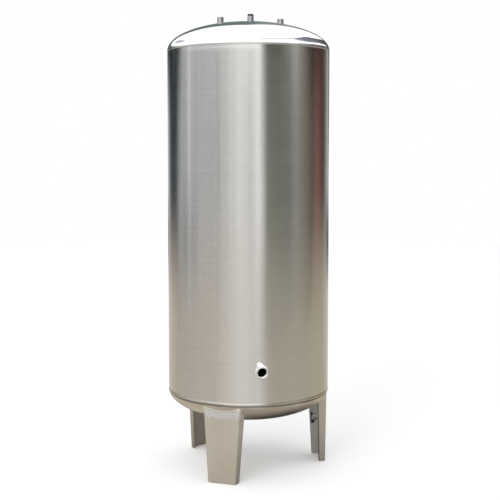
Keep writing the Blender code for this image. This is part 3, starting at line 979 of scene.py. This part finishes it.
def plastic_finish():
    """Moulded black plastic with a fine grain and pale scuffs."""
    finish = Finish("cap_plastic", (0.04, 0.04, 0.045), 0.45, 0.0, Specular_IOR_Level=0.25)
    grain = finish.noise(1800, 2.0)
    scuffs = finish.noise((260, 260, 120), 4.0, distortion=1.0)
    tone = finish.coat((0.04, 0.04, 0.045), (0.16, 0.16, 0.16), scuffs, 0.6, 0.75, 0.5)
    return finish.done(tone, finish.spread(scuffs, 0.4, 0.75, 0.38, 0.62), (grain, 0.00002))


# Camera

CAMERA_AZIMUTH = -9.18
CAMERA_DISTANCE = 5.090
CAMERA_HEIGHT = 1.546
CAMERA_TILT = 3.875
CAMERA_PAN = 0.090
CAMERA_LENS = 1019.7 * 36 / 500
CAMERA_SHIFT = -0.05


def make_camera():
    """The photograph's view: from the left of the side socket, a little above the tank's middle."""
    data = bpy.data.cameras.new("camera")
    data.sensor_width = 36
    data.lens = CAMERA_LENS
    data.shift_y = CAMERA_SHIFT
    camera = show("camera", data)
    azimuth = radians(CAMERA_AZIMUTH)
    camera.location = (CAMERA_DISTANCE * sin(azimuth), -CAMERA_DISTANCE * cos(azimuth), CAMERA_HEIGHT)
    camera.rotation_euler = (radians(90 - CAMERA_TILT), 0, azimuth - radians(CAMERA_PAN))
    bpy.context.scene.camera = camera


# Light and surroundings

# What stands round the tank: degrees from the camera's side, counted to its right, and a tone
SCREENS = (
    (-180, 0.8, 0.83, 0.85), (-166, 0.66, 0.69, 0.71), (-157, 0.5, 0.53, 0.55), (-150, 0.3, 0.32, 0.34),
    (-144, 0.1, 0.11, 0.12), (-140, 0.06, 0.07, 0.08), (-126, 0.05, 0.06, 0.07), (-121, 0.13, 0.14, 0.15),
    (-116, 0.38, 0.4, 0.41), (-110, 0.52, 0.55, 0.56), (-106, 0.51, 0.54, 0.55), (-95, 0.6, 0.62, 0.64),
    (-91.7, 0.96, 0.98, 0.98), (-87.7, 0.6, 0.61, 0.65), (-42, 0.6, 0.62, 0.62), (-10, 1.08, 1.08, 1.06),
    (2, 0.84, 0.84, 0.83), (16, 1.2, 1.2, 1.19), (26, 0.24, 0.25, 0.23), (44, 0.208, 0.22, 0.176),
    (58, 0.2, 0.21, 0.2), (71, 0.34, 0.34, 0.32), (90, 0.23, 0.2, 0.16), (101, 0.14, 0.105, 0.095),
    (113, 0.27, 0.135, 0.112), (122, 0.2, 0.08, 0.07), (129, 0.1, 0.07, 0.062), (134, 0.09, 0.085, 0.077),
    (139, 0.18, 0.176, 0.16), (144, 0.36, 0.36, 0.33), (150, 0.46, 0.46, 0.42), (168, 0.6, 0.6, 0.56),
)
# Where the white sky begins above them, as the sine of the elevation, and how softly
SKYLINE = (
    (-180, 0.57), (-172, 0.51), (-165, 0.43), (-158, 0.3), (-147, 0.2), (-130, 0.18), (-100, 0.145),
    (-45, 0.13), (-12, 0.115), (-4, 0.09), (10, 0.09), (16, 0.1), (20, 0.24), (60, 0.26), (104, 0.27),
    (118, 0.24), (138, 0.2), (158, 0.17), (166, 0.25), (172, 0.38), (176, 0.49), (180, 0.57),
)
SKYLINE_SOFTNESS = 0.08
# A roof in the sky on each side, and a gutter that runs on from the right one: edges and tones
ROOF_FOOT = (
    (-150, 0.9), (-144, 0.345), (-134, 0.375), (-118, 0.46), (-112, 0.9), (16, 0.9), (22, 0.72),
    (84, 0.72), (88, 0.56), (94, 0.54), (104, 0.46), (113, 0.455), (127, 0.395), (135, 0.34), (145, 0.28),
    (153, 0.21), (162, 0.0),
)
ROOF_TOP = (
    (-150, 0.6), (-144, 0.47), (-134, 0.545), (-118, 0.56), (-112, 0.6), (16, 0.6), (22, 0.79),
    (104, 0.77), (118, 0.745), (133, 0.71), (140, 0.63), (147, 0.52), (154, 0.44), (166, 0.27),
    (173, 0.18),
)
ROOF_SOFTNESS = 0.022
ROOF = (
    (22, 0.6, 0.6, 0.63), (86, 0.62, 0.62, 0.65), (96, 0.42, 0.42, 0.46), (104, 0.27, 0.27, 0.3),
    (124, 0.25, 0.25, 0.28), (135, 0.18, 0.18, 0.2), (160, 0.07, 0.07, 0.08),
)
# The ground's tones, and the band of elevation sines over which it takes over
GROUND = (
    (-180, 0.78, 0.73, 0.67), (-140, 0.7, 0.61, 0.53), (-110, 0.62, 0.56, 0.48), (-45, 0.71, 0.65, 0.57),
    (-10, 0.95, 0.91, 0.85), (15, 0.85, 0.83, 0.78), (25, 0.61, 0.57, 0.48), (32, 0.575, 0.535, 0.447),
    (125, 0.58, 0.53, 0.41), (180, 0.8, 0.77, 0.7),
)
GROUND_BAND = (-0.025, -0.161)
# How much lower it takes over
GROUND_LATER = (
    (-125, 0.0), (-112, 0.03), (-85, 0.03), (-76, 0.0), (14, 0.0), (22, 0.018), (45, 0.02), (62, 0.028),
    (97, 0.034), (105, 0.012), (125, 0.0),
)
# What the screens' tones are multiplied by higher up, and the sines between which that sets in
UPPER = (
    (-140, 0.15), (-134, 1.0), (-127, 1.0), (-124, 0.2), (-115, 0.1), (-108, 0.8), (-100, 1.0), (16, 1.0),
    (22, 0.5), (28, 0.46), (38, 0.52), (45, 0.68), (56, 1.35), (66, 1.85), (76, 1.2), (88, 0.8),
    (95, 0.5), (101, 0.32), (125, 0.34), (130, 0.95), (137, 0.8), (150, 1.0),
)
UPPER_BAND = (0.038, 0.105)
SKY = (1.5, 1.5, 1.52)
# The sides that count as behind the tank, in turns from the camera's side, and the trees there
BEHIND = (0.36, 0.42)
TREES = (
    (-180, 0.165, 0.205, 0.21), (-160, 0.1, 0.13, 0.13), (160, 0.04, 0.045, 0.045),
    (171, 0.05, 0.055, 0.055), (174, 0.28, 0.31, 0.32), (177, 0.26, 0.29, 0.3), (180, 0.165, 0.205, 0.21),
)
TREES_BAND = (0.125, 0.14)
# How many fine stripes go round, and how strong they are on the screens and on the ground
STRIPES = 80.0
SCREEN_STRIPES = 0.7
GROUND_STRIPES = 0.33
# A dark kerb at the ground's far edge: its tone, its strength, and the sines between which it lies
KERB_TONE = (0.06, 0.055, 0.045)
KERB = (
    (-164, 1.0), (-157, 0.1), (-140, 0.0), (-115, 0.08), (-108, 0.24), (-101, 0.45), (-84, 0.4),
    (-72, 0.0), (141, 0.0), (149, 0.65), (158, 0.85),
)
KERB_BAND = (-0.11, -0.05)
KERB_SOFTNESS = 0.02
# The floor's painted shade under the tank, as tones by side, and the distances from its middle over which
# they give way to the ground's
UNDER_TANK_SHADE = (
    (-150, 0.5, 0.45, 0.37), (-95, 0.6, 0.55, 0.45), (-55, 0.6, 0.55, 0.45), (-10, 0.46, 0.41, 0.34),
    (30, 0.44, 0.39, 0.325), (70, 0.49, 0.44, 0.365),
)
UNDER_FADE = (0.95, 0.50)
# The tank's shadow: its middle and where it fades; and where a strip of painted shadow behind the tank starts
# and ends
SHADOW = (0.07, 0.065, 0.055)
SHADOW_MIDDLE = (0.20, 0.12, 0.0)
SHADOW_FADE = (0.54, 0.15)
SHADOW_STRIP_START = (0.45, 0.75)
SHADOW_STRIP_END = (1.65, 0.95)
# Radius of the floor, and of its tone in the steel, each with its depth under the feet; then the lamp
FLOOR = (14.0, 0.0005)
FLOOR_IN_STEEL = (5.4, 0.001)
LAMP_PLACE = (-3.0, -4.0, 4.5)
LAMP_AIM = (0.0, 0.0, 0.9)
LAMP_SIZE = (3.0, 2.0)
LAMP_WATTS = 110


class Surroundings(Nodes):
    """Nodes that paint what the steel reflects."""

    def __init__(self, tree, coordinates):
        super().__init__(tree)
        tree.nodes.clear()
        self.place_vector = self.new("TexCoord").outputs[coordinates]
        parts = self.split(self.place_vector)
        self.height = parts["Z"]
        away = self.times(parts["Y"], -1.0)
        turn = self.calc("DIVIDE", self.calc("ARCTAN2", parts["X"], away), tau)
        # The turn from the camera's side: 0.5 there, growing to the right, 0 and 1 straight behind the tank
        self.turn = self.calc("FRACT", self.calc("ADD", turn, 1.5 - CAMERA_AZIMUTH / 360))

    def by_turn(self, stops):
        """The tone of the stops at the turn; a tone is red, green and blue or a single number."""
        node = self.new("ValToRGB")
        elements = node.color_ramp.elements
        for _ in stops[2:]:
            elements.new(0.5)
        for element, (degrees, *tone) in zip(elements, stops):
            element.position = (degrees + 180) / 360
            element.color = (*(tone * 3)[:3], 1.0)
        self.join(self.turn, node.inputs["Fac"])
        return node.outputs["Color"]

    def behind(self):
        """1 straight behind the tank, 0 on the other sides."""
        return self.spread(self.calc("ABSOLUTE", self.calc("SUBTRACT", self.turn, 0.5)), *BEHIND)

    def within(self, low, high, softness):
        """1 at heights between the limits, 0 beyond them."""
        rise = self.spread(self.calc("SUBTRACT", self.height, low), -softness, softness)
        fall = self.spread(self.calc("SUBTRACT", self.height, high), softness, -softness)
        return self.times(rise, fall)

    def striped(self, stops, strength):
        """The tone of the stops with fine upright stripes, brighter and darker by the strength."""
        noise = self.new("TexNoise", noise_dimensions="1D")
        self.join(self.times(self.turn, STRIPES), noise.inputs["W"])
        stripes = self.spread(noise.outputs["Fac"], 0.3, 0.7, 1.0 - strength, 1.0 + strength)
        return self.tint(self.by_turn(stops), stripes)

    def screens(self):
        """The screens, other tones higher up, and the trees behind the tank."""
        tone = self.striped(SCREENS, SCREEN_STRIPES)
        upper = self.tint(tone, self.by_turn(UPPER))
        tone = self.mix(self.spread(self.height, *UPPER_BAND), tone, upper)
        trees = self.times(self.behind(), self.spread(self.height, *TREES_BAND))
        return self.mix(trees, tone, self.by_turn(TREES))

    def all_round(self):
        """The screens under a white sky with roofs in it, and the ground with its far kerb."""
        over = self.calc("SUBTRACT", self.height, self.by_turn(SKYLINE))
        tone = self.mix(self.spread(over, 0.0, SKYLINE_SOFTNESS, smooth=True), self.screens(), SKY)
        roof = self.within(self.by_turn(ROOF_FOOT), self.by_turn(ROOF_TOP), ROOF_SOFTNESS)
        tone = self.mix(roof, tone, self.by_turn(ROOF))
        lowered = self.calc("ADD", self.height, self.by_turn(GROUND_LATER))
        ground = self.spread(lowered, *GROUND_BAND, smooth=True)
        tone = self.mix(ground, tone, self.striped(GROUND, GROUND_STRIPES))
        kerb = self.times(self.by_turn(KERB), self.within(*KERB_BAND, KERB_SOFTNESS))
        return self.mix(kerb, tone, KERB_TONE)

    def floor(self):
        """The floor: painted shade under the tank, a strip of painted shadow behind it, as the ground further
        out.
        """
        reach = self.vector("LENGTH", self.place_vector)
        # Painted shade on the floor under the tank
        under = self.spread(reach, *UNDER_FADE, smooth=True)
        tone = self.mix(under, self.striped(GROUND, GROUND_STRIPES), self.by_turn(UNDER_TANK_SHADE))
        from_middle = self.vector("LENGTH", self.vector("SUBTRACT", self.place_vector, SHADOW_MIDDLE))
        tone = self.mix(self.spread(from_middle, *SHADOW_FADE), tone, SHADOW)
        # A strip of painted shadow on the floor behind the tank, in the kerb's tone
        strip = self.times(self.behind(), self.spread(reach, *SHADOW_STRIP_START))
        strip = self.times(strip, self.spread(reach, *SHADOW_STRIP_END, smooth=True))
        return self.mix(strip, tone, KERB_TONE)


def make_world():
    """Soft white light, and in the steel a ring of tinted screens under a white sky."""
    world = bpy.data.worlds.new("studio")
    bpy.context.scene.world = world
    world.use_nodes = True
    nodes = Surroundings(world.node_tree, "Generated")
    glossy = nodes.new("LightPath").outputs["Is Glossy Ray"]
    background = nodes.new("Background")
    nodes.join(nodes.mix(glossy, (1.0, 1.0, 1.0), nodes.all_round()), background.inputs["Color"])
    nodes.join(background.outputs[0], nodes.new("OutputWorld").inputs["Surface"])


def floor_in_steel():
    """The floor's tone in the steel: a painted reflection of the floor, glowing, that only glossy rays see.
    """
    material = bpy.data.materials.new("floor_in_steel")
    material.use_nodes = True
    nodes = Surroundings(material.node_tree, "Object")
    # The disc glows with the painted reflection of the floor
    glow = nodes.new("Emission")
    nodes.join(nodes.floor(), glow.inputs["Color"])
    nodes.join(glow.outputs[0], nodes.new("OutputMaterial").inputs["Surface"])
    return material


def make_disc(name, radius, drop, material):
    """A flat round disc this far under the feet."""
    angles = round_angles(FLOOR_SEGMENTS)
    points = [(0.0, 0.0, -drop)] + turned([(radius / 2, -drop), (radius, -drop)], angles)
    faces = fan_faces(1, len(angles), 0) + grid_faces(2, len(angles), wrap=False, first=1)
    disc = show(name, new_mesh(points, faces))
    disc.data.materials.append(material)
    return disc


def make_floor():
    """A plain pale floor that ends as white as the backdrop, and a glowing disc that paints the floor's
    reflection in the steel.
    """
    pale = Finish("floor", (0.80, 0.80, 0.80), 0.9, 0.0, Specular_IOR_Level=0.0)
    pale.shade("Emission Color", (1.0, 1.0, 1.0))
    pale.shade("Emission Strength", 0.2)
    floor = make_disc("floor", *FLOOR, pale.material)
    floor.visible_glossy = False
    seen = make_disc("floor_in_steel", *FLOOR_IN_STEEL, floor_in_steel())
    for ray in ("camera", "diffuse", "shadow", "transmission", "volume_scatter"):
        setattr(seen, "visible_" + ray, False)


def make_light():
    """A wide soft lamp above the camera's left, kept out of the steel."""
    data = bpy.data.lights.new("soft_lamp", "AREA")
    data.shape = "RECTANGLE"
    data.size, data.size_y = LAMP_SIZE
    data.energy = LAMP_WATTS
    lamp = show("soft_lamp", data)
    lamp.location = LAMP_PLACE
    lamp.rotation_euler = (Vector(LAMP_AIM) - lamp.location).to_track_quat("-Z", "Y").to_euler()
    lamp.visible_glossy = False


def build():
    bpy.context.scene.view_settings.view_transform = "Standard"
    make_camera()
    seam_weld = weld_finish("dressed_weld", 0.05, 0.22, (0.64, 0.645, 0.66))
    weld = weld_finish("weld_bead", 0.7, 0.32)
    port_steel = socket_finish("port_steel", (0.80, 0.80, 0.79), (0.70, 0.70, 0.69))
    nozzle_steel = socket_finish("nozzle_steel", (0.52, 0.52, 0.54), (0.40, 0.40, 0.42))
    make_shell(shell_finish())
    make_long_weld(weld_finish("tinted_weld", 0.5, 0.28))
    make_head("top_head", SHELL_TOP, 1, head_finish(), NOZZLE_PLACES.values())
    make_head("bottom_head", SHELL_BOTTOM, -1, bottom_finish())
    make_girth_weld("top_girth_weld", SHELL_TOP, -1, seam_weld)
    dull_weld = weld_finish("dull_weld", 0.15, 0.25, (0.60, 0.585, 0.56))
    make_girth_weld("bottom_girth_weld", SHELL_BOTTOM, 1, dull_weld)
    make_side_port(port_steel, weld_finish("bright_weld", 0.05, 0.22, (0.90, 0.90, 0.89)))
    make_top_nozzles(nozzle_steel, weld, plastic_finish())
    make_legs(weld_finish("leg_weld", 0.2, 0.36, (0.82, 0.81, 0.79)))
    make_floor()
    make_light()
    make_world()


build()
